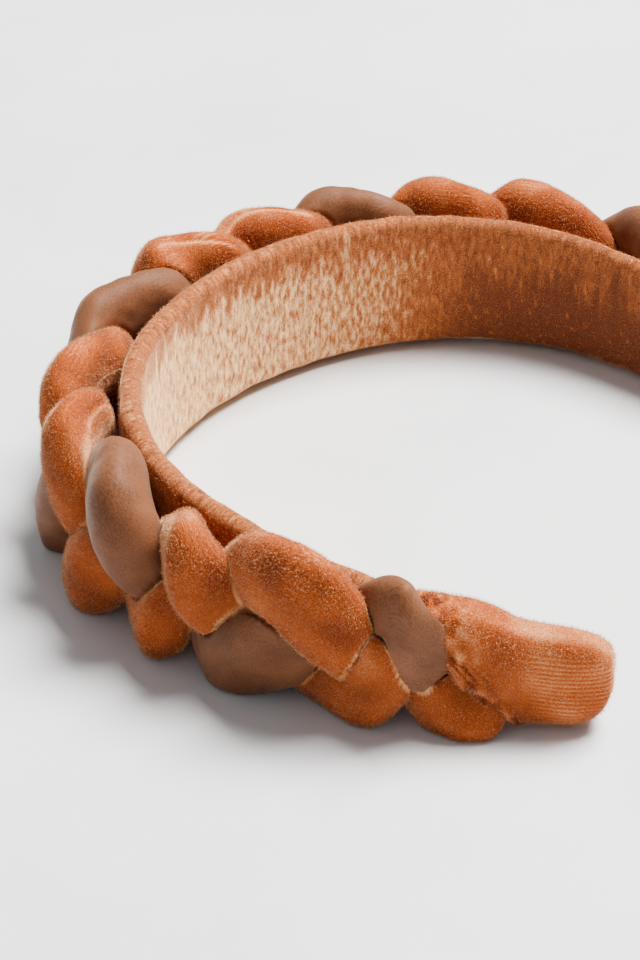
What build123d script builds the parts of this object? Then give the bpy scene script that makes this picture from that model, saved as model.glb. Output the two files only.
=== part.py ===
# Braided velvet headband, lying on its side. Millimetres.
# Frame: +Z up, towards the band's upper edge; the crown is towards +Y and the open end
# towards -Y; the origin is at the centre of the box, on the surface that it lies on.
# Places along the headband are lengths s on the band's inner face, 0 at the crown,
# positive towards +X. A section's own axes are x outwards from the head and y upwards.
from build123d import *

import os
from math import cos, radians, sin, sqrt

os.makedirs("parts", exist_ok=True)

# Band: a flat padded hoop, open at the back
crown_radius = 82.5
crown_half_length = 33.5
shoulder_radius = 58.3
shoulder_length = 65.1
leg_radius = 124.8
leg_length = 87.6
band_thickness = 5.0
band_crown_width = 35.0
band_tip_width = 18.1
band_tip_rise = 3.0
band_sections = 24

# Rest: the headband lies on the crown's lobes and on its two tips. The shifts put its
# box over the origin.
rest_tilt = 5.1
band_height = 15.0
x_shift = 0.5
y_shift = 62.35

# Braid: three padded strands on the band's outer face
tip_length = 30.0
braid_half_thickness = 8.7
braid_rise = 4.2
braid_swing = 14.84
braid_depth = 5.34
depth_ripple = 0.455
strand_half_width = 6.35
middle_swell = 0.26
strand_half_thickness = 3.9
thickness_swell = 0.197
thickness_ripple = 0.286
strand_roll = radians(6.1)
crossing_roll = radians(15.2)
station_step = 3.0
section_points = 14
strand_names = ["satin_strand", "velvet_strand_1", "velvet_strand_2"]

# Wraps: a velvet pad over the outer face at each tip
wrap_clearance = 0.3
wrap_edge_radius = 2.0
wrap_height = 24.6
wrap_rise = 3.3
wrap_thickness = 5.0

band_half_length = crown_half_length + shoulder_length + leg_length
braid_half_length = band_half_length - tip_length

# Upper-edge crossings of the braid, in order along it: one row for each, with its place
# as a share of the braid's half length. The strand on top changes at each crossing.
crossing_shares = [
    -1.13, -0.995, -0.895, -0.712, -0.606, -0.467, -0.359, -0.202, -0.049, 0.065,
    0.201, 0.319, 0.434, 0.577, 0.712, 0.846, 0.981, 1.13,
]
first_crossing = -7
crossing_phase = radians(50)
crossing_turn = radians(120)
mean_turn = (
    crossing_turn
    * (len(crossing_shares) - 1)
    / ((crossing_shares[-1] - crossing_shares[0]) * braid_half_length)
)

# Braid's envelope: place as a share of its half length, then the strands' swing, the
# braid's thickness and its rise above the band's middle, as shares of their sizes.
envelope_rows = [
    # place, swing, thickness, rise
    (-1.06, 0.60, 0.66, 0.83),
    (-0.96, 0.66, 0.74, 1.00),
    (-0.83, 0.74, 0.90, 1.00),
    (-0.64, 0.88, 1.12, 0.52),
    (-0.48, 0.97, 1.14, 0.17),
    (-0.34, 1.00, 1.04, 0.00),
    (-0.22, 1.00, 1.00, 0.00),
    (0.34, 1.00, 1.00, 0.00),
    (0.48, 0.97, 1.04, 0.17),
    (0.64, 0.88, 1.06, 0.52),
    (0.83, 0.74, 0.90, 1.00),
    (0.96, 0.66, 0.74, 1.00),
    (1.06, 0.60, 0.66, 0.83),
]

# Tip wrap: place as a share of the tip's length from the braid's end, then its height,
# thickness and rise above the crown's middle as shares of their sizes.
wrap_rows = [
    # place, height, thickness, rise
    (0.00, 0.93, 1.00, 0.88),
    (0.22, 1.00, 1.00, 1.00),
    (0.45, 0.92, 0.88, 0.82),
    (0.80, 0.88, 0.80, 0.77),
    (0.95, 0.74, 0.62, 0.76),
    (1.02, 0.52, 0.35, 0.85),
]


def smooth_between(places, values, place):
    """Value at a place from rows in order, on a curve that never overshoots them."""
    count = len(places)
    steps = [places[i + 1] - places[i] for i in range(count - 1)]
    rises = [(values[i + 1] - values[i]) / steps[i] for i in range(count - 1)]
    slopes = [rises[0]] + [0.0] * (count - 2) + [rises[-1]]
    for i in range(1, count - 1):
        if rises[i - 1] * rises[i] > 0:
            before, after = 2 * steps[i] + steps[i - 1], steps[i] + 2 * steps[i - 1]
            slopes[i] = (before + after) / (before / rises[i - 1] + after / rises[i])
    i = max(0, min(count - 2, sum(1 for p in places if p < place) - 1))
    t = (place - places[i]) / steps[i]
    return (
        (1 + 2 * t) * (1 - t) ** 2 * values[i]
        + t * (1 - t) ** 2 * steps[i] * slopes[i]
        + t * t * (3 - 2 * t) * values[i + 1]
        + t * t * (t - 1) * steps[i] * slopes[i + 1]
    )


def inner_face(s):
    """Point on the band's inner face and the angle that it has turned from the crown."""
    side = 1 if s >= 0 else -1
    left = abs(s)
    x, y, turn = 0.0, 0.0, 0.0
    for radius, length in (
        (crown_radius, crown_half_length),
        (shoulder_radius, shoulder_length),
        (leg_radius, leg_length),
    ):
        arc = min(left, length) if radius != leg_radius else left
        x += radius * (sin(turn + arc / radius) - sin(turn))
        y += radius * (cos(turn + arc / radius) - cos(turn))
        turn += arc / radius
        left -= arc
    return side * x, y, side * turn


def section_plane(s, out, height):
    """Plane across the headband at s, centred a distance out from the inner face."""
    x, y, turn = inner_face(s)
    outward = Vector(sin(turn), cos(turn), 0)
    centre = Vector(x + x_shift, y + y_shift, height) + outward * out
    along = outward.cross(Vector(0, 0, 1))
    return Plane(
        origin=centre.rotate(Axis.X, rest_tilt),
        x_dir=outward.rotate(Axis.X, rest_tilt),
        z_dir=along.rotate(Axis.X, rest_tilt),
    )


def band_width(s):
    return band_crown_width - (band_crown_width - band_tip_width) * (s / band_half_length) ** 2


def band_middle(s):
    """Height of the band's middle line, which rises a little towards the tips."""
    return band_height + band_tip_rise * (s / band_half_length) ** 2


def envelope(column, s):
    places = [row[0] for row in envelope_rows]
    return smooth_between(places, [row[column] for row in envelope_rows], s / braid_half_length)


def braid_turn(s):
    """Angle that the satin strand has gone round by s, 90 degrees at the upper edge."""
    numbers = [first_crossing + i for i in range(len(crossing_shares))]
    number = smooth_between(crossing_shares, numbers, s / braid_half_length)
    return crossing_turn * number + crossing_phase


def strand_oval(s, strand):
    """Points round a strand's oval section at s, out and up from the braid's middle.

    The three ovals clear each other at the braid's full size, so they still do where the
    envelope makes the whole section narrower or thicker.
    """
    angle = braid_turn(s) - crossing_turn * strand
    lean = braid_swing * cos(angle) * mean_turn
    half_up = strand_half_width * sqrt(1 + lean**2) * (1 + middle_swell * cos(2 * angle))
    half_out = strand_half_thickness * (
        1 + thickness_swell * cos(2 * angle) + thickness_ripple * cos(4 * angle)
    )
    roll = strand_roll * cos(angle) + crossing_roll * cos(3 * angle)
    depth = braid_depth * sin(2 * angle) - depth_ripple * sin(4 * angle)
    points = []
    for i in range(section_points):
        around = radians(360 * i / section_points)
        across, along = half_out * cos(around), half_up * sin(around)
        out = depth + across * cos(roll) + along * sin(roll)
        up = braid_swing * sin(angle) - across * sin(roll) + along * cos(roll)
        points.append((envelope(2, s) * out, envelope(1, s) * up))
    return points


# The band
with BuildPart() as band:
    for i in range(band_sections + 1):
        s = band_half_length * (2 * i / band_sections - 1)
        with BuildSketch(section_plane(s, band_thickness / 2, band_middle(s))):
            SlotOverall(band_width(s), band_thickness, rotation=90)
    loft()
band.part.label = "band"
export_step(band.part, "parts/band.step")

# The three strands, flattened where they meet the surface
stations = round(2 * braid_half_length / station_step)
for strand, name in enumerate(strand_names):
    with BuildPart() as padded_strand:
        for i in range(stations + 1):
            s = braid_half_length * (2 * i / stations - 1)
            back = band_thickness + braid_half_thickness * envelope(2, s)
            height = band_height + braid_rise * envelope(3, s)
            with BuildSketch(section_plane(s, back, height)):
                with BuildLine():
                    Polyline(*strand_oval(s, strand), close=True)
                make_face()
        loft(ruled=True)
        split(bisect_by=Plane.XY, keep=Keep.TOP)
    padded_strand.part.label = name
    export_step(padded_strand.part, f"parts/{name}.step")

# The wraps over the two tips
for name, side in (("tip_wrap_near", -1), ("tip_wrap_far", 1)):
    with BuildPart() as tip_wrap:
        for place, height_share, thickness_share, rise_share in wrap_rows:
            s = side * (braid_half_length + wrap_clearance + place * tip_length)
            height = wrap_height * height_share
            thickness = wrap_thickness * thickness_share
            out = band_thickness + wrap_clearance + thickness / 2
            middle = band_height + wrap_rise * rise_share
            with BuildSketch(section_plane(s, out, middle)):
                RectangleRounded(thickness, height, min(wrap_edge_radius, thickness * 0.45))
        loft()
        split(bisect_by=Plane.XY, keep=Keep.TOP)
    tip_wrap.part.label = name
    export_step(tip_wrap.part, f"parts/{name}.step")
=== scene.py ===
# Braided velvet headband. Sizes are millimetres until a mesh is made, in the solids' frame.
# Places along the headband are lengths s on the band's inner face, 0 at the crown,
# positive towards +X. A section's own axes are out from the head and up.
from math import cos, pi, radians, sin

import bpy
import numpy as np
from mathutils import Matrix, Vector


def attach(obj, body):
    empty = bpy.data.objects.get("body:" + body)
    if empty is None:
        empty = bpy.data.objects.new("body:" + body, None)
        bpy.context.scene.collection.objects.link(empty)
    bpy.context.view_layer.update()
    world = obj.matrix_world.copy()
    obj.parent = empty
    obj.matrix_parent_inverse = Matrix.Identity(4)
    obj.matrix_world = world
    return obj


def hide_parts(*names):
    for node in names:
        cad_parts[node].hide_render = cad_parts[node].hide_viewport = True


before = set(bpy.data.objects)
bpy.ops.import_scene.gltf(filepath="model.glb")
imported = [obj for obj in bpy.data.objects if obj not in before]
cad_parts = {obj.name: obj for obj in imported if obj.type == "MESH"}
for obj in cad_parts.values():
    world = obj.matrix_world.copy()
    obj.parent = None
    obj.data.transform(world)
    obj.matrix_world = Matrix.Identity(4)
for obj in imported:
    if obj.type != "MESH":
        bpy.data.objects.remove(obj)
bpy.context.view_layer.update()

MM = 0.001

# The hoop, as in the solids
crown_radius = 82.5
crown_half_length = 33.5
shoulder_radius = 58.3
shoulder_length = 65.1
leg_radius = 124.8
leg_length = 87.6
band_thickness = 5.0
band_crown_width = 35.0
band_tip_width = 18.1
band_tip_rise = 3.0
band_half_length = crown_half_length + shoulder_length + leg_length
rest_tilt = radians(5.1)
band_height = 15.0
x_shift = 0.5
y_shift = 62.35

# The braid: centre lines of three padded strands and the oval that each one presses with
tip_length = 30.0
braid_half_length = band_half_length - tip_length
braid_half_thickness = 8.6
braid_swing = 12.9
braid_depth = 3.1
strand_half_width = 9.4
strand_half_thickness = 5.2
strand_gap = 0.3
press_sharpness = 8.0
# A strand swells in the middle of each lobe, this far round from its widest place
lobe_middle = radians(73)
lobe_bulge = 0.17
mean_turn = 0.1
crown_sag = 0.18
strand_half_length = 170.0
taper_start = 149.0
strand_end_round = 10.0
girth_radius = 6.5
station_step = 0.5
round_points = 84

# The next three lists were fitted to the photograph's outlines and creases.
# Upper-edge crossings of the braid: place s and number, with halves along the near leg
crossing_rows = [
    (-176, -7), (-166, -6.5), (-154.6, -6), (-146.8, -5.5), (-137.1, -5), (-120.4, -4.5),
    (-110, -4), (-102.7, -3.5), (-94.3, -3), (-84.1, -2.5), (-72.3, -2), (-56, -1),
    (-30, 0), (-6.8, 1), (11.1, 2), (32.2, 3), (50.9, 4), (69.7, 5),
    (93.4, 6), (108.8, 7), (134.9, 8), (153, 9), (176, 10),
]
crossing_phase = radians(50)
crossing_turn = radians(120)

# The braid's envelope: place s, shares of the swing and thickness, the rise, the share
# of the strands' width, and how much a strand swells in the middle of a lobe
envelope_rows = [
    # s, swing, thickness, rise, width, swell
    (-165, 0.40, 0.72, 1.9, 1.15, 0.29),
    (-150, 0.50, 0.71, 5.5, 0.96, 0.29),
    (-130, 0.78, 0.86, 4.2, 1.02, 0.29),
    (-100, 0.77, 1.00, 1.6, 0.75, 0.29),
    (-75, 0.97, 1.09, 1.3, 0.91, 0.29),
    (-55, 0.98, 1.08, 0.0, 0.88, 0.27),
    (-35, 0.87, 1.15, 0.0, 0.84, 0.21),
    (0, 0.96, 1.13, 0.1, 0.76, 0.12),
    (35, 0.87, 1.16, 0.4, 0.78, 0.07),
    (70, 1.02, 1.06, 0.1, 0.78, 0.05),
    (100, 0.76, 0.94, 3.7, 0.77, 0.28),
    (130, 0.62, 0.90, 3.5, 0.85, 0.28),
    (150, 0.45, 0.74, 4.2, 0.95, 0.30),
    (165, 0.38, 0.70, 3.5, 1.00, 0.30),
]

# How plump each strand is at the middles of its lobes: place s and share
plump_rows = [
    [
        (-162, 0.60), (-148, 1.12), (-121, 0.91), (-88, 1.20), (-60, 1.04), (-45, 1.00),
        (-36, 0.93), (-24, 0.92), (-12, 1.11), (24, 1.17), (37, 0.98), (50, 0.93), (97, 0.97),
    ],
    [
        (-160, 1.21), (-130, 1.01), (-100, 1.07), (-68, 0.91), (-50, 0.94), (-40, 1.00),
        (-20, 0.90), (-12, 1.38), (-3, 0.99), (8, 1.08), (43, 0.99), (56, 1.01), (68, 1.03),
    ],
    [
        (-170, 0.90), (-140, 1.07), (-108, 1.05), (-80, 1.01), (-60, 0.72), (-48, 0.88),
        (2, 1.35), (10, 0.88), (17, 0.94), (26, 1.06), (62, 0.96), (76, 1.05),
    ],
]


def smooth_step(start, end, value):
    t = np.clip((value - start) / (end - start), 0, 1)
    return t * t * (3 - 2 * t)


def smooth_rows(places, values, at):
    """Values at places from rows in order, on a curve that never overshoots them."""
    places, values, at = (np.asarray(a, float) for a in (places, values, at))
    step = np.diff(places)
    rise = np.diff(values) / step
    slope = np.zeros_like(values)
    slope[0], slope[-1] = rise[0], rise[-1]
    for i in range(1, len(places) - 1):
        if rise[i - 1] * rise[i] > 0:
            before, after = 2 * step[i] + step[i - 1], step[i] + 2 * step[i - 1]
            slope[i] = (before + after) / (before / rise[i - 1] + after / rise[i])
    i = np.clip(np.searchsorted(places, at) - 1, 0, len(step) - 1)
    t = (at - places[i]) / step[i]
    return (
        (1 + 2 * t) * (1 - t) ** 2 * values[i]
        + t * (1 - t) ** 2 * step[i] * slope[i]
        + t * t * (3 - 2 * t) * values[i + 1]
        + t * t * (t - 1) * step[i] * slope[i + 1]
    )


def hoop(s):
    """Points on the band's inner face at s, and the angles turned from the crown."""
    s = np.asarray(s, float)
    left = np.abs(s)
    x, y, turn = np.zeros_like(s), np.zeros_like(s), np.zeros_like(s)
    arcs = (
        (crown_radius, crown_half_length),
        (shoulder_radius, shoulder_length),
        (leg_radius, 10 * leg_length),
    )
    for radius, length in arcs:
        arc = np.minimum(left, length)
        x += radius * (np.sin(turn + arc / radius) - np.sin(turn))
        y += radius * (np.cos(turn + arc / radius) - np.cos(turn))
        turn += arc / radius
        left = left - arc
    return x * np.sign(s), y, turn * np.sign(s)


def laid_down(x, y, up):
    """Points of the level hoop, up from the band's middle, as it rests: x, y, z."""
    y = y + y_shift
    z = band_height + up
    c, n = cos(rest_tilt), sin(rest_tilt)
    return np.stack(np.broadcast_arrays(x + x_shift, y * c - z * n, y * n + z * c), -1)


def place(s, out, up):
    """Points out from the inner face at s and up from the band's middle."""
    x, y, turn = hoop(s)
    return laid_down(x + np.sin(turn) * out, y + np.cos(turn) * out, up)


def band_width(s):
    return band_crown_width - (band_crown_width - band_tip_width) * (s / band_half_length) ** 2


def band_rise(s):
    return band_tip_rise * (s / band_half_length) ** 2


def envelope(column, s):
    rows = np.array(envelope_rows)
    return smooth_rows(rows[:, 0], rows[:, column], s)


# Meshes


def skin(name, rings):
    """A closed tube through rings of points (stations, points round, 3), faces outwards."""
    stations, around, _ = rings.shape
    points = rings.reshape(-1, 3) * MM
    i = np.arange(stations - 1)[:, None] * around
    j = np.arange(around)[None, :]
    k = (j + 1) % around
    quads = np.stack([i + j, i + k, i + k + around, i + j + around], -1).reshape(-1, 4)
    faces = quads.tolist()
    ends = np.stack([rings[0].mean(0), rings[-1].mean(0)]) * MM
    points = np.concatenate([points, ends])
    first, last = stations * around, stations * around + 1
    top = (stations - 1) * around
    for a in range(around):
        b = (a + 1) % around
        faces.append((first, b, a))
        faces.append((last, top + a, top + b))
    mesh = bpy.data.meshes.new(name)
    mesh.from_pydata(points.tolist(), [], faces)
    mesh.update()
    mesh.shade_smooth()
    piece = bpy.data.objects.new(name, mesh)
    bpy.context.scene.collection.objects.link(piece)
    return piece


def give(piece, name, values):
    """Stores a number or a vector for each point; the two end points get the mean."""
    values = np.asarray(values, float)
    kind = "FLOAT" if values.ndim == 2 else "FLOAT_VECTOR"
    flat = values.reshape(-1) if kind == "FLOAT" else values.reshape(-1, 3)
    extra = np.repeat(flat.mean(0)[None], 2, 0)
    flat = np.concatenate([flat, extra])
    layer = piece.data.attributes.new(name, kind, "POINT")
    key = "value" if kind == "FLOAT" else "vector"
    layer.data.foreach_set(key, flat.reshape(-1).astype(np.float32))


def outward(rings):
    """Unit normals of a tube's rings."""
    along = np.gradient(rings, axis=0)
    round_ = np.roll(rings, -1, 1) - np.roll(rings, 1, 1)
    normal = np.cross(round_, along)
    return normal / (np.linalg.norm(normal, axis=-1, keepdims=True) + 1e-12)


def waves(points, seed, size, count=24):
    """Soft random relief from -1 to 1 at points (..., 2 or 3), with bumps of that size."""
    rng = np.random.default_rng(seed)
    total = np.zeros(points.shape[:-1])
    for _ in range(count):
        way = rng.normal(size=points.shape[-1])
        way *= 2 * pi / size * rng.uniform(0.6, 1.5) / np.linalg.norm(way)
        total += np.sin(points @ way + rng.uniform(0, 2 * pi))
    return total / np.sqrt(count)


# Strands


def centre_line(s, strand):
    """A strand's place in the braid at s: up, out, half width, half thickness, angle."""
    crossings = np.array(crossing_rows)
    number = smooth_rows(crossings[:, 0], crossings[:, 1], s)
    angle = crossing_turn * (number - strand) + crossing_phase
    swing = braid_swing * envelope(1, s)
    lean = swing * mean_turn * np.cos(angle)
    up = swing * np.sin(angle)
    out = braid_depth * envelope(2, s) * np.sin(2 * angle)
    lobes = np.array(plump_rows[strand])
    plump = smooth_rows(lobes[:, 0], lobes[:, 1], np.clip(s, lobes[0, 0], lobes[-1, 0]))
    full = np.cos(2 * (angle - lobe_middle))
    width = plump * envelope(4, s) * (1 - 0.08 * smooth_step(50, 150, np.abs(s)))
    half_up = strand_half_width * width * np.sqrt(1 + lean**2) * (1 + envelope(5, s) * full)
    half_out = strand_half_thickness * plump * envelope(2, s) * (1 + lobe_bulge * full)
    return up, out, half_up, half_out, angle


def first_hit(a, b, c):
    """Smallest length above 0 that solves a t^2 + b t + c = 0, or a large one."""
    inside = b * b - 4 * a * c
    root = np.sqrt(np.maximum(inside, 0))
    safe = np.where(np.abs(a) < 1e-9, 1e-9, a)
    nearest = np.full_like(inside, 1000.0)
    for sign in (-1, 1):
        length = (-b + sign * root) / (2 * safe)
        hit = (inside >= 0) & (length > 0) & (length < nearest)
        nearest = np.where(hit, length, nearest)
    return nearest


def pressed_section(s, strand):
    """Rings of a strand at s, up and out from the braid's middle, and how free each
    point is: 1 where nothing presses on the strand, 0 where its neighbours do."""
    round_angle = np.linspace(0, 2 * pi, round_points, endpoint=False)
    ray_out, ray_up = np.cos(round_angle)[None], np.sin(round_angle)[None]
    up, out, half_up, half_out, _ = centre_line(s, strand)
    own = (ray_up / half_up[:, None]) ** 2 + (ray_out / half_out[:, None]) ** 2
    free = 1 / np.sqrt(own)
    limits = [free]
    for other in range(3):
        if other == strand:
            continue
        up_2, out_2, half_up_2, half_out_2, _ = centre_line(s, other)
        off = ((up - up_2) / half_up_2)[:, None], ((out - out_2) / half_out_2)[:, None]
        step = ray_up / half_up_2[:, None], ray_out / half_out_2[:, None]
        squares = step[0] ** 2 + step[1] ** 2
        twice = 2 * (off[0] * step[0] + off[1] * step[1])
        apart = off[0] ** 2 + off[1] ** 2
        # where the two ovals overlap, each strand gets its share
        shared = first_hit(squares - own, twice, apart)
        touch = np.where(apart > 1, first_hit(squares, twice, apart - 1), 0)
        limits.append(np.maximum(np.maximum(shared, touch) - strand_gap / 2, 0.5))
    back = braid_half_thickness * envelope(2, s)[:, None]
    behind = (-back - out[:, None]) / np.minimum(ray_out, -1e-6)
    limits.append(np.where(ray_out < -1e-6, np.maximum(behind, 0.5), 1000.0))
    radius = sum(limit**-press_sharpness for limit in limits) ** (-1 / press_sharpness)
    freedom = np.clip(radius / free, 0, 1)
    return up[:, None] + radius * ray_up, out[:, None] + radius * ray_out, freedom


def strand_place(s, up, out):
    """Points of the braid in the solids' frame, from its middle. Its ends taper."""
    half = braid_half_thickness * envelope(2, s)
    rise = envelope(3, s)
    taper = smooth_step(taper_start, strand_half_length - 4, np.abs(s))
    if np.ndim(out) == 2:
        s, half, rise, taper = (a[:, None] for a in (s, half, rise, taper))
    # under the pads the strands' upper parts lie closer to the band than the lower ones
    taper = taper * (0.35 + 0.65 * smooth_step(-9, 0, up))
    depth = (half + out) * (1 - 0.72 * taper)
    # the underside of the crown hangs down to the surface
    sag = crown_sag * (1 - smooth_step(30, 85, np.abs(s)))
    up = np.where(up < 0, up * (1 + sag), up)
    return place(s, band_thickness + depth, rise + up * (1 - 0.25 * taper))


def cloth_lengths(s, strand, rings):
    """Lengths on a strand's cloth: along the strand and round it."""
    up, out, _, _, _ = centre_line(s, strand)
    middle = strand_place(s, up, out)
    along = np.gradient(middle, axis=0)
    run = np.linalg.norm(along, axis=1)
    along /= run[:, None]
    length = np.cumsum(run)
    outwards = place(s, 1.0, 0.0) - place(s, 0.0, 0.0)
    outwards -= along * (outwards * along).sum(1)[:, None]
    outwards /= np.linalg.norm(outwards, axis=1)[:, None]
    side = np.cross(along, outwards)
    off = rings - middle[:, None]
    u = length[:, None] + (off * along[:, None]).sum(2)
    angle = np.arctan2((off * side[:, None]).sum(2), (off * outwards[:, None]).sum(2))
    return np.stack([u, angle * girth_radius, np.zeros_like(u)], -1)


def settle_on_floor(rings, floor=0.0, soft=0.8):
    """Presses the points near the floor flat on it."""
    height = rings[..., 2] - floor
    pressed = soft * np.exp(height / soft - 1)
    rings[..., 2] = floor + np.where(rings[..., 2] > floor + soft, height, pressed)
    return rings


# Seams and folds in the strands' cloth: strand, half width, depth, then pairs of the
# place s and the degrees round the strand
seam_rows = [
    (2, 0.5, 0.35, ((8.0, 92), (14.0, 88), (18.0, 83), (22.0, 84), (25.0, 92))),
    (1, 0.5, 0.35, ((-9.0, 86), (-5.0, 98), (-1.0, 106), (4.0, 108))),
    (
        1, 0.5, 0.4,
        ((-79.5, 81), (-77.5, 86), (-76.5, 94), (-73.0, 111), (-68.5, 125), (-63.5, 130)),
    ),
]


def seam_dents(s, strand):
    """Depth of the seams at each point of a strand."""
    around = np.linspace(0, 2 * pi, round_points, endpoint=False)
    dents = np.zeros((len(s), round_points))
    for wanted, half_width, depth, pairs in seam_rows:
        if wanted == strand:
            places, angles = np.array(pairs, float).T
            middle = np.radians(np.interp(s, places, angles))[:, None]
            off = girth_radius * (around[None] - middle)
            starts = smooth_step(places[0] - 2, places[0], s)
            ends = smooth_step(-places[-1] - 2, -places[-1], -s)
            run = (starts * ends)[:, None]
            dents = np.maximum(dents, depth * np.exp(-((off / half_width) ** 2)) * run)
    return dents


def make_strand(name, strand, seed):
    stations = round(2 * strand_half_length / station_step)
    s = np.linspace(-strand_half_length, strand_half_length, stations + 1)
    up, out, freedom = pressed_section(s, strand)
    # the two ends are rounded, under the pads
    to_end = np.clip((np.abs(s) - strand_half_length) / strand_end_round + 1, 0, 1)
    keep = np.maximum(np.sqrt(1 - to_end**2), 0.04)[:, None]
    middle_up, middle_out = (a[:, None] for a in centre_line(s, strand)[:2])
    up = middle_up + (up - middle_up) * keep
    out = middle_out + (out - middle_out) * keep
    rings = strand_place(s, up, out)
    normal = outward(rings)
    cloth = cloth_lengths(s, strand, rings)
    tuck = (1 - smooth_step(0.80, 0.995, freedom)) * smooth_step(0.35, 0.75, freedom)
    lines = cloth[..., :2] * np.array([0.25, 1.0])
    pucker = waves(lines, seed, 3.2) * tuck
    soft = waves(rings, seed + 1, 14.0) * 0.22 + waves(rings, seed + 2, 5.0) * 0.07
    dents = seam_dents(s, strand)
    rings = rings + normal * (0.32 * pucker + soft - dents)[..., None]
    rings = settle_on_floor(rings)
    piece = skin(name, rings)
    give(piece, "cloth", cloth)
    give(piece, "freedom", freedom)
    # painted sheen and light: a pale band along the lobes' free edges and paler upward-facing
    # tops; the random waves are the velvet's own crushed nap
    edge = smooth_step(0.66, 0.84, freedom) * (1 - smooth_step(0.92, 0.995, freedom))
    top_sheen = np.clip(normal[..., 2], 0, 1) ** 2
    nap_and_light = 0.23 + 0.085 * waves(rings, seed + 3, 12.0) + 0.62 * edge + 0.16 * top_sheen
    nap_and_light = nap_and_light + 0.9 * np.roll(dents, 2, 1)
    give(piece, "nap_and_light", nap_and_light)
    give(piece, "ribbing", smooth_step(-0.1, 0.6, waves(rings, seed + 4, 13.0)))
    return piece


# The band
band_stations = 560
band_round_points = 96
band_end_round = 8.0
crown_drop = 1.6

# How pale the inner face is, from its pile and from painted light that makes it paler where it
# faces the lamp and darker where it turns away: place s and share
lining_nap_and_light_rows = [
    (-187, 0.30), (-150, 0.40), (-120, 0.70), (-95, 0.92), (-60, 0.84), (-30, 0.76),
    (0, 0.66), (25, 0.57), (45, 0.46), (70, 0.34), (110, 0.26), (150, 0.28), (187, 0.30),
]


def make_band():
    s = np.linspace(-band_half_length, band_half_length, band_stations + 1)
    to_end = np.clip((np.abs(s) - band_half_length + band_end_round) / band_end_round, 0, 1)
    half = band_width(s) / 2 * (0.35 + 0.65 * np.sqrt(1 - to_end**2))
    round_angle = np.linspace(0, 2 * pi, band_round_points, endpoint=False)
    edge = band_thickness / 2
    c, n = np.cos(round_angle), np.sin(round_angle)
    # rounded upper and lower edges joined by flat faces
    share = np.clip(np.abs(n) ** 0.55, 0, 1) * np.sign(n)
    up = share[None] * half[:, None]
    reach = np.clip((np.abs(up) - (half[:, None] - edge)) / edge, 0, 1)
    out = edge + np.sign(c)[None] * edge * np.sqrt(1 - reach**2)
    # the lower edge sags towards the surface at the crown
    drop = crown_drop * (1 - smooth_step(20, 110, np.abs(s)))
    up = up + np.minimum(share, 0)[None] * drop[:, None]
    rings = place(s[:, None], out, up + band_rise(s)[:, None])
    rings = rings + outward(rings) * (0.12 * waves(rings, 5, 9.0))[..., None]
    piece = skin("band_cover", rings)
    cloth = np.stack(np.broadcast_arrays(s[:, None], up + 40 * np.sign(c)[None], 0 * up), -1)
    give(piece, "cloth", cloth)
    give(piece, "freedom", np.ones_like(up))
    # the pile of the inner face lies over below the rim and shows its pale side, and painted light
    # makes it paler where the face turns to the lamp
    pale = smooth_rows(*zip(*lining_nap_and_light_rows), s)[:, None]
    height = up / half[:, None]
    lines = np.stack(np.broadcast_arrays(s[:, None], 0.15 * up), -1)
    fingers = waves(lines, 61, 3.6)
    rim = smooth_step(0.34, 0.74, height + 0.20 * fingers)
    # painted shade where the inner face turns away from the lamp, deepest towards its lower edge
    turned_away_shade = smooth_step(36, 66, s) * (1 - 0.5 * smooth_step(100, 140, s))
    turned_away_shade = turned_away_shade[:, None] * (1 - 0.75 * smooth_step(-0.3, 0.8, height + 0.25 * fingers))
    # a few tufts stand up out of the dark part
    tufts = smooth_step(0.7, 1.6, waves(np.stack([lines[..., 0], up], -1), 62, 2.2))
    turned_away_shade = turned_away_shade * (1 - 0.9 * tufts)
    nap_and_light = np.where(c[None] < 0.05, pale * (1 - rim) + 0.30 * rim - 0.30 * turned_away_shade, 0.30)
    give(piece, "nap_and_light", nap_and_light)
    give(piece, "ribbing", np.zeros_like(up))
    return piece


# The gathered pads over the tips
pad_stations = (90, 30)
pad_round_points = 96
pad_squareness = 2.8
pad_back = -0.6
pad_slant = 0.30
pad_rows = [
    # place from the braid's end as a share of the tip, top, bottom, front
    (-0.20, 12.0, 1.0, 5.5),
    (-0.10, 15.0, -3.4, 9.6),
    (0.02, 16.4, -6.2, 11.6),
    (0.22, 17.2, -8.2, 11.4),
    (0.36, 15.9, -8.8, 10.4),
    (0.46, 14.3, -8.7, 9.7),
    (0.60, 13.7, -8.6, 9.2),
    (0.81, 13.1, -8.2, 8.7),
    (0.92, 12.2, -7.2, 8.2),
    (0.99, 10.8, -5.8, 7.4),
    (1.03, 9.2, -3.9, 6.4),
    (1.05, 6.6, -1.0, 4.8),
]


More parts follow.
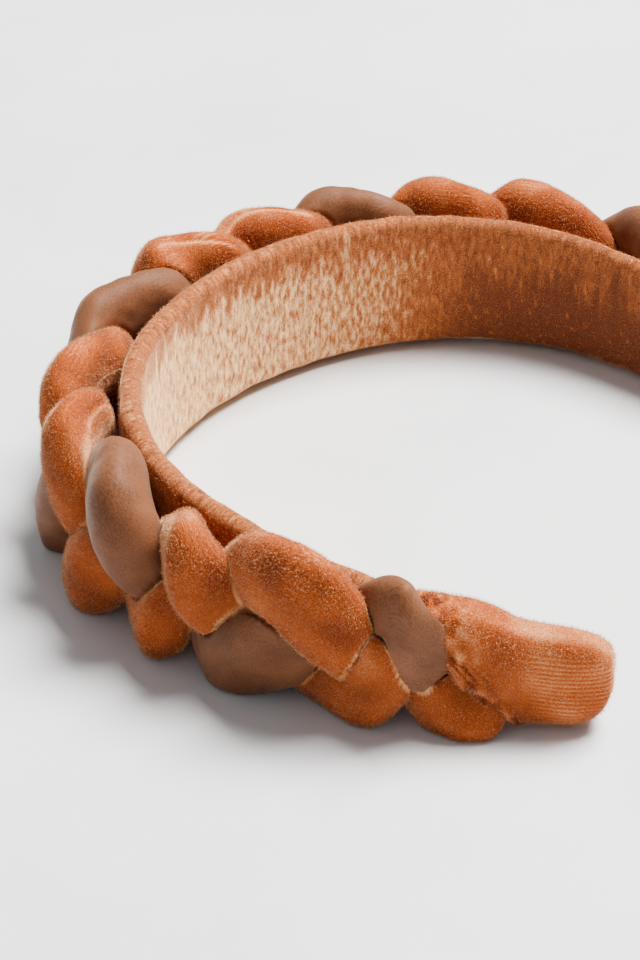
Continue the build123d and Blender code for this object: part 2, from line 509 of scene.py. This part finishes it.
def make_pad(name, side, seed):
    rows = np.array(pad_rows)
    body = np.linspace(-0.20, 0.9, pad_stations[0])
    end = np.linspace(0.905, 1.05, pad_stations[1])
    share = np.concatenate([body, end])[::side]
    top, bottom, front = (smooth_rows(rows[:, 0], rows[:, k], share) for k in (1, 2, 3))
    s = side * (braid_half_length + share * tip_length)
    round_angle = np.linspace(0, 2 * pi, pad_round_points, endpoint=False)
    c, n = np.cos(round_angle)[None], np.sin(round_angle)[None]
    power = 2 / pad_squareness
    flat_c = np.sign(c) * np.abs(c) ** power
    flat_n = np.sign(n) * np.abs(n) ** power
    up = ((top + bottom) / 2)[:, None] + ((top - bottom) / 2)[:, None] * flat_n
    out = ((front + pad_back) / 2)[:, None] + ((front - pad_back) / 2)[:, None] * flat_c
    # it starts on a slant, further along at its lower edge
    gather = (1 - smooth_step(0.05, 0.6, share))[:, None]
    slant = side * tip_length * pad_slant * gather * (0.42 - flat_n)
    rings = place(s[:, None] + slant, out, up)
    normal = outward(rings)
    # lengths round the pad from the middle of its front
    sides = np.linalg.norm(np.roll(rings, -1, 1) - rings, axis=2)
    girth = np.cumsum(sides, 1) - sides
    girth = np.where(round_angle > pi, girth - sides.sum(1)[:, None], girth)
    cloth = np.stack([np.broadcast_to(s[:, None], up.shape), girth, 0 * up], -1)
    lines = np.stack([0.16 * s[:, None] + 0 * up, up, flat_c * 5 + 0 * up], -1)
    relief = waves(lines, seed, 4.2) * 0.5 * gather
    relief = relief + waves(rings, seed + 1, 12.0) * 0.25
    start = (1 - smooth_step(0.02, 0.34, share))[:, None]
    tufts = waves(rings * np.array([1.0, 1.0, 0.6]), seed + 5, 2.2)
    relief = relief + 0.32 * tufts * start
    # the side towards the head stays smooth
    relief = relief * smooth_step(-0.8, -0.2, flat_c)
    rings = rings + normal * relief[..., None]
    rings = settle_on_floor(rings)
    piece = skin(name, rings)
    give(piece, "cloth", cloth)
    ribbing = smooth_step(0.44, 0.66, share)[:, None] * smooth_step(-0.95, -0.5, flat_n)
    ribbing = ribbing * (1 - smooth_step(0.55, 0.95, flat_n))
    give(piece, "freedom", 1 - 0.38 * ribbing)
    # painted light: the gathered start and the lower side are darker as painted shade, and the
    # upper and lower rims paler as painted sheen; the random waves and the tufts are the velvet's
    # own
    low_side_shade = 1 - smooth_step(-0.9, 0.3, flat_n)
    rim = smooth_step(0.90, 0.995, np.abs(flat_n)) * smooth_step(0.1, 0.5, share)[:, None]
    nap_and_light = 0.36 - 0.10 * gather - 0.16 * low_side_shade + 0.08 * waves(rings, seed + 3, 14.0)
    nap_and_light = nap_and_light + 0.32 * tufts * start + 0.20 * rim
    give(piece, "nap_and_light", nap_and_light)
    give(piece, "ribbing", 2.1 * ribbing)
    return piece


# Materials


def new_material(name):
    material = bpy.data.materials.new(name)
    material.use_nodes = True
    tree = material.node_tree
    return material, tree, tree.nodes["Principled BSDF"]


def node(tree, kind, inputs=(), **settings):
    made = tree.nodes.new(kind)
    for key, value in settings.items():
        setattr(made, key, value)
    for key, value in dict(inputs).items():
        if isinstance(value, bpy.types.NodeSocket):
            tree.links.new(value, made.inputs[key])
        else:
            made.inputs[key].default_value = value
    return made


def ramp(tree, value, stops):
    made = node(tree, "ShaderNodeValToRGB", {"Fac": value})
    for i, (at, colour) in enumerate(stops):
        element = made.color_ramp.elements[i] if i < 2 else made.color_ramp.elements.new(at)
        element.position = at
        element.color = (*colour, 1)
    return made.outputs["Color"]


def mixed(tree, share, first, second, how="MIX"):
    made = node(tree, "ShaderNodeMix", data_type="RGBA", blend_type=how)
    for index, value in ((0, share), (6, first), (7, second)):
        if isinstance(value, bpy.types.NodeSocket):
            tree.links.new(value, made.inputs[index])
        else:
            made.inputs[index].default_value = value
    return made.outputs[2]


def noise(tree, where, scale, detail=3.0, roughness=0.55):
    made = node(
        tree,
        "ShaderNodeTexNoise",
        {"Vector": where, "Scale": scale, "Detail": detail, "Roughness": roughness},
    )
    return made.outputs["Fac"]


def stretched(tree, where, along, across):
    made = node(
        tree, "ShaderNodeMapping", {"Vector": where, "Scale": (along, across, 1.0)}
    )
    return made.outputs["Vector"]


def maths(tree, how, *values):
    made = node(tree, "ShaderNodeMath", dict(enumerate(values)), operation=how)
    return made.outputs[0]


def between(tree, value, start, end):
    """0 below start, 1 above end."""
    made = node(tree, "ShaderNodeMapRange", {"Value": value, "From Min": start, "From Max": end})
    return made.outputs[0]


def velvet(name, tones, streaks, rib_size=0.8):
    """Crushed velvet. Tones are its deep, middle and pale colours, which follow the nap and the
    painted light and shade that each point holds; streaks are the sizes of its marks along
    and round, and their strength."""
    material, tree, shader = new_material(name)
    deep, middle, pale = tones
    along, around, strength = streaks
    cloth = node(tree, "ShaderNodeAttribute", attribute_name="cloth").outputs["Vector"]
    nap_and_light = node(tree, "ShaderNodeAttribute", attribute_name="nap_and_light").outputs["Fac"]
    streak = noise(tree, stretched(tree, cloth, 1 / along, 1 / around), 1.0, 3.0, 0.65)
    fine = noise(tree, cloth, 3.0, 2.0, 0.7)
    rib = node(
        tree,
        "ShaderNodeTexWave",
        {"Vector": cloth, "Scale": 0.314 / rib_size, "Distortion": 0.8, "Detail": 1.0},
        bands_direction="Y",
    ).outputs["Fac"]
    ribbing = node(tree, "ShaderNodeAttribute", attribute_name="ribbing").outputs["Fac"]
    ribbed = maths(tree, "MULTIPLY", ribbing, rib)
    mark = maths(tree, "MULTIPLY", maths(tree, "SUBTRACT", streak, 0.5), strength)
    pile_and_light = maths(tree, "MULTIPLY_ADD", maths(tree, "POWER", nap_and_light, 0.8), mark, nap_and_light)
    pile_and_light = maths(tree, "MULTIPLY_ADD", maths(tree, "SUBTRACT", fine, 0.5), 0.85, pile_and_light)
    pile_and_light = maths(tree, "MULTIPLY_ADD", ribbed, 0.08, pile_and_light)
    colour = ramp(tree, pile_and_light, [(0.05, deep), (0.95, pale), (0.40, middle)])
    glint = between(tree, noise(tree, cloth, 4.2, 1.0, 0.5), 0.64, 0.72)
    colour = mixed(tree, maths(tree, "MULTIPLY", glint, 0.4), colour, (0.80, 0.52, 0.34, 1))
    tree.links.new(colour, shader.inputs["Base Color"])
    shader.inputs["Roughness"].default_value = 0.9
    shader.inputs["Specular IOR Level"].default_value = 0.12
    shader.inputs["Sheen Weight"].default_value = 1.0
    shader.inputs["Sheen Roughness"].default_value = 0.25
    shader.inputs["Sheen Tint"].default_value = (1.0, 0.60, 0.32, 1)
    relief = maths(tree, "MULTIPLY_ADD", ribbed, 0.22, fine)
    bump = node(tree, "ShaderNodeBump", {"Height": relief, "Strength": 0.5, "Distance": 0.0003})
    tree.links.new(bump.outputs["Normal"], shader.inputs["Normal"])
    return material


def satin(name, deep, light):
    """Satin with a fine twill."""
    material, tree, shader = new_material(name)
    cloth = node(tree, "ShaderNodeAttribute", attribute_name="cloth").outputs["Vector"]
    patch = noise(tree, cloth, 0.12, 2.0)
    fine = noise(tree, cloth, 2.6, 1.0, 0.6)
    twill = node(
        tree,
        "ShaderNodeTexWave",
        {"Vector": cloth, "Scale": 1.5, "Distortion": 0.5},
        bands_direction="DIAGONAL",
    ).outputs["Fac"]
    tone = maths(tree, "MULTIPLY_ADD", maths(tree, "SUBTRACT", fine, 0.5), 0.9, patch)
    tone = maths(tree, "MULTIPLY_ADD", maths(tree, "SUBTRACT", twill, 0.5), 0.10, tone)
    colour = ramp(tree, tone, [(0.30, deep), (0.70, light)])
    tree.links.new(colour, shader.inputs["Base Color"])
    shader.inputs["Roughness"].default_value = 0.58
    shader.inputs["Specular IOR Level"].default_value = 0.20
    shader.inputs["Specular Tint"].default_value = (1.0, 0.80, 0.66, 1)
    shader.inputs["Sheen Weight"].default_value = 0.22
    shader.inputs["Sheen Roughness"].default_value = 0.4
    shader.inputs["Sheen Tint"].default_value = (1.0, 0.72, 0.55, 1)
    relief = maths(tree, "MULTIPLY_ADD", fine, 0.8, twill)
    bump = node(tree, "ShaderNodeBump", {"Height": relief, "Strength": 0.12, "Distance": 0.0002})
    tree.links.new(bump.outputs["Normal"], shader.inputs["Normal"])
    return material


velvet_tones = ((0.11, 0.014, 0.002), (0.36, 0.067, 0.007), (0.88, 0.43, 0.18))
lining_tones = ((0.100, 0.024, 0.008), (0.36, 0.100, 0.024), (1.0, 0.65, 0.30))
velvet_cloth = velvet("velvet", velvet_tones, (3.0, 3.0, 0.60), 1.0)
lining_cloth = velvet("napped velvet", lining_tones, (1.1, 3.4, 2.7))
satin_cloth = satin("satin", (0.090, 0.029, 0.0105), (0.170, 0.060, 0.024))
pile_cloth, pile_tree, pile_shader = new_material("velvet pile")
spot_on_pile = node(pile_tree, "ShaderNodeTexCoord").outputs["Object"]
fibre_tip_sheen = node(pile_tree, "ShaderNodeAttribute", attribute_name="tip").outputs["Fac"]
pile_patch = noise(pile_tree, spot_on_pile, 1100.0, 1.0)
# painted sheen: each fibre is paler towards its tip, which gives the pale fuzz along the edges
pile_colour = ramp(
    pile_tree,
    maths(pile_tree, "MULTIPLY_ADD", fibre_tip_sheen, 0.20, pile_patch),
    [(0.48, (0.24, 0.042, 0.004)), (0.74, (0.78, 0.39, 0.16))],
)
pile_tree.links.new(pile_colour, pile_shader.inputs["Base Color"])
pile_shader.inputs["Roughness"].default_value = 0.65
pile_shader.inputs["Sheen Weight"].default_value = 0.3
pile_shader.inputs["Sheen Tint"].default_value = (1.0, 0.68, 0.42, 1)


# Pile: short fibres over a piece, made with Geometry Nodes


def pile_group():
    group = bpy.data.node_groups.new("pile", "GeometryNodeTree")
    face = group.interface
    face.new_socket("Geometry", in_out="INPUT", socket_type="NodeSocketGeometry")
    sockets = {}
    for label, kind, default in (
        ("Density", "NodeSocketFloat", 3.0),
        ("Length", "NodeSocketFloat", 0.8),
        ("Width", "NodeSocketFloat", 0.08),
        ("Material", "NodeSocketMaterial", None),
    ):
        socket = face.new_socket(label, in_out="INPUT", socket_type=kind)
        if default is not None:
            socket.default_value = default
        sockets[label] = socket.identifier
    face.new_socket("Geometry", in_out="OUTPUT", socket_type="NodeSocketGeometry")
    start = node(group, "NodeGroupInput").outputs
    freedom = node(group, "GeometryNodeInputNamedAttribute", {"Name": "freedom"})
    bare = node(
        group,
        "ShaderNodeMapRange",
        {"Value": freedom.outputs[0], "From Min": 0.55, "From Max": 0.8},
    )
    density = node(
        group, "ShaderNodeMath", {0: start["Density"], 1: bare.outputs[0]}, operation="MULTIPLY"
    )
    scatter = node(
        group,
        "GeometryNodeDistributePointsOnFaces",
        {"Mesh": start["Geometry"], "Density": density.outputs[0], "Seed": 3},
    )
    blade = node(group, "GeometryNodeMeshCircle", {"Vertices": 3, "Radius": 1.0}, fill_type="NGON")
    stand = node(
        group,
        "GeometryNodeTransform",
        {"Geometry": blade.outputs[0], "Translation": (0, 0, 0.5), "Rotation": (pi / 2, 0, 0)},
    )
    spot = node(group, "GeometryNodeInputPosition")
    height_up = node(group, "ShaderNodeSeparateXYZ", {0: spot.outputs[0]})
    marked = node(
        group,
        "GeometryNodeStoreNamedAttribute",
        {"Geometry": stand.outputs[0], "Name": "tip", "Value": height_up.outputs["Z"]},
    )
    turn = node(
        group,
        "FunctionNodeRandomValue",
        {"Min": (-0.75, -0.75, 0.0), "Max": (0.75, 0.75, 2 * pi), "Seed": 5},
        data_type="FLOAT_VECTOR",
    )
    rotate = node(
        group,
        "FunctionNodeRotateEuler",
        {"Rotation": scatter.outputs["Rotation"], "Rotate By": turn.outputs[0]},
        space="LOCAL",
    )
    tall = node(
        group,
        "FunctionNodeRandomValue",
        {2: 0.45, 3: 1.0, "Seed": 7},
        data_type="FLOAT",
    )
    height = node(
        group, "ShaderNodeMath", {0: tall.outputs[1], 1: start["Length"]}, operation="MULTIPLY"
    )
    size = node(
        group,
        "ShaderNodeCombineXYZ",
        {"X": start["Width"], "Y": start["Width"], "Z": height.outputs[0]},
    )
    blades = node(
        group,
        "GeometryNodeInstanceOnPoints",
        {
            "Points": scatter.outputs["Points"],
            "Instance": marked.outputs[0],
            "Rotation": rotate.outputs[0],
            "Scale": size.outputs[0],
        },
    )
    real = node(group, "GeometryNodeRealizeInstances", {"Geometry": blades.outputs[0]})
    dress = node(
        group,
        "GeometryNodeSetMaterial",
        {"Geometry": real.outputs[0], "Material": start["Material"]},
    )
    node(group, "NodeGroupOutput", {"Geometry": dress.outputs[0]})
    return group, sockets


pile_nodes, pile_inputs = pile_group()


fibre_width = 0.032


def make_pile(piece, density, length):
    """Fibres over a piece, as a plain mesh of its own; density is per square mm."""
    base = bpy.data.objects.new("pile base", piece.data.copy())
    bpy.context.scene.collection.objects.link(base)
    modifier = base.modifiers.new("pile", "NODES")
    modifier.node_group = pile_nodes
    modifier[pile_inputs["Density"]] = density / MM**2
    modifier[pile_inputs["Length"]] = length * MM
    modifier[pile_inputs["Width"]] = fibre_width * MM
    modifier[pile_inputs["Material"]] = pile_cloth
    bpy.context.view_layer.update()
    made = base.evaluated_get(bpy.context.evaluated_depsgraph_get())
    mesh = bpy.data.meshes.new_from_object(made)
    bpy.data.objects.remove(base)
    pile = bpy.data.objects.new(piece.name + "_pile", mesh)
    bpy.context.scene.collection.objects.link(pile)
    return pile


# The pieces
band_cover = make_band()
satin_tube = make_strand("satin_tube", 0, 11)
velvet_tube_1 = make_strand("velvet_tube_1", 1, 21)
velvet_tube_2 = make_strand("velvet_tube_2", 2, 31)
tip_pad_near = make_pad("tip_pad_near", -1, 41)
tip_pad_far = make_pad("tip_pad_far", 1, 51)
pieces = [
    # piece, node, slot, cloth, fill, fibres per square mm, their length
    (band_cover, "band", "velvet", lining_cloth, 0.5, 3.0, 0.55),
    (satin_tube, "satin_strand", "satin", satin_cloth, 0.85, 0, 0),
    (velvet_tube_1, "velvet_strand_1", "velvet", velvet_cloth, 0.85, 9.0, 0.55),
    (velvet_tube_2, "velvet_strand_2", "velvet", velvet_cloth, 0.85, 9.0, 0.55),
    (tip_pad_near, "tip_wrap_near", "velvet", velvet_cloth, 0.6, 9.0, 0.75),
    (tip_pad_far, "tip_wrap_far", "velvet", velvet_cloth, 0.6, 9.0, 0.75),
]
for piece, cad_node, slot, cloth_material, fill, fibres, fibre_length in pieces:
    piece.data.materials.append(cloth_material)
    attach(piece, "root")
    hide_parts(cad_node)
    if fibres:
        pile = make_pile(piece, fibres, fibre_length)
        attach(pile, "root")

# Camera, fitted to the photograph on the level hoop and laid down with it
camera_yaw = 0.83279
camera_elevation = 0.61614
camera_distance = 511.14
camera_roll = 0.02797
aim_x, aim_y = -19.117, 33.604
aim_up = -20.0


def level_to_rest(direction):
    return Matrix.Rotation(rest_tilt, 3, "X") @ Vector(direction)


def photo_to_level(x, y):
    c, n = cos(camera_yaw), sin(camera_yaw)
    return x * c + y * n, -x * n + y * c


camera_data = bpy.data.cameras.new("camera")
camera_data.lens = 82.5
camera_data.sensor_width = 36.0
camera_data.clip_start = 0.01
camera = bpy.data.objects.new("camera", camera_data)
bpy.context.scene.collection.objects.link(camera)
x, y = photo_to_level(-aim_x, -camera_distance * cos(camera_elevation) - aim_y)
camera_up = camera_distance * sin(camera_elevation) + aim_up
camera_spot = laid_down(x, y, camera_up)
forward_x, forward_y = photo_to_level(0, cos(camera_elevation))
forward = level_to_rest((forward_x, forward_y, -sin(camera_elevation)))
right = level_to_rest((*photo_to_level(1, 0), 0))
upright = right.cross(forward)
turned_right = right * cos(camera_roll) + upright * sin(camera_roll)
turned_up = upright * cos(camera_roll) - right * sin(camera_roll)
pose = Matrix((turned_right, turned_up, -forward)).transposed().to_4x4()
pose.translation = Vector(camera_spot.tolist()) * MM
camera.matrix_world = pose
bpy.context.scene.camera = camera

# Floor and light
bpy.ops.mesh.primitive_plane_add(size=4.0, location=(0, 0, -0.0002))
floor = bpy.context.object
floor.name = "floor"
floor_cloth, floor_tree, floor_shader = new_material("pale stone")
where = node(floor_tree, "ShaderNodeTexCoord").outputs["Object"]
veins = noise(floor_tree, where, 9.0, 6.0, 0.6)
stone = ramp(floor_tree, veins, [(0.36, (0.735, 0.74, 0.745)), (0.58, (0.82, 0.82, 0.82))])
floor_tree.links.new(stone, floor_shader.inputs["Base Color"])
floor_shader.inputs["Roughness"].default_value = 0.45
floor.data.materials.append(floor_cloth)

world = bpy.data.worlds.new("studio")
world.use_nodes = True
world.node_tree.nodes["Background"].inputs["Color"].default_value = (0.93, 0.96, 1.0, 1)
world.node_tree.nodes["Background"].inputs["Strength"].default_value = 0.38
bpy.context.scene.world = world


def area_light(name, where, aim, size, power, colour=(1, 1, 1)):
    data = bpy.data.lights.new(name, "AREA")
    data.size = size
    data.energy = power
    data.color = colour
    light = bpy.data.objects.new(name, data)
    light.location = where
    light.rotation_euler = (Vector(aim) - Vector(where)).to_track_quat("-Z", "Y").to_euler()
    bpy.context.scene.collection.objects.link(light)


area_light("window", (0.76, -0.20, 1.55), (0, 0, 0), 0.85, 154.0, (1.0, 0.985, 0.965))
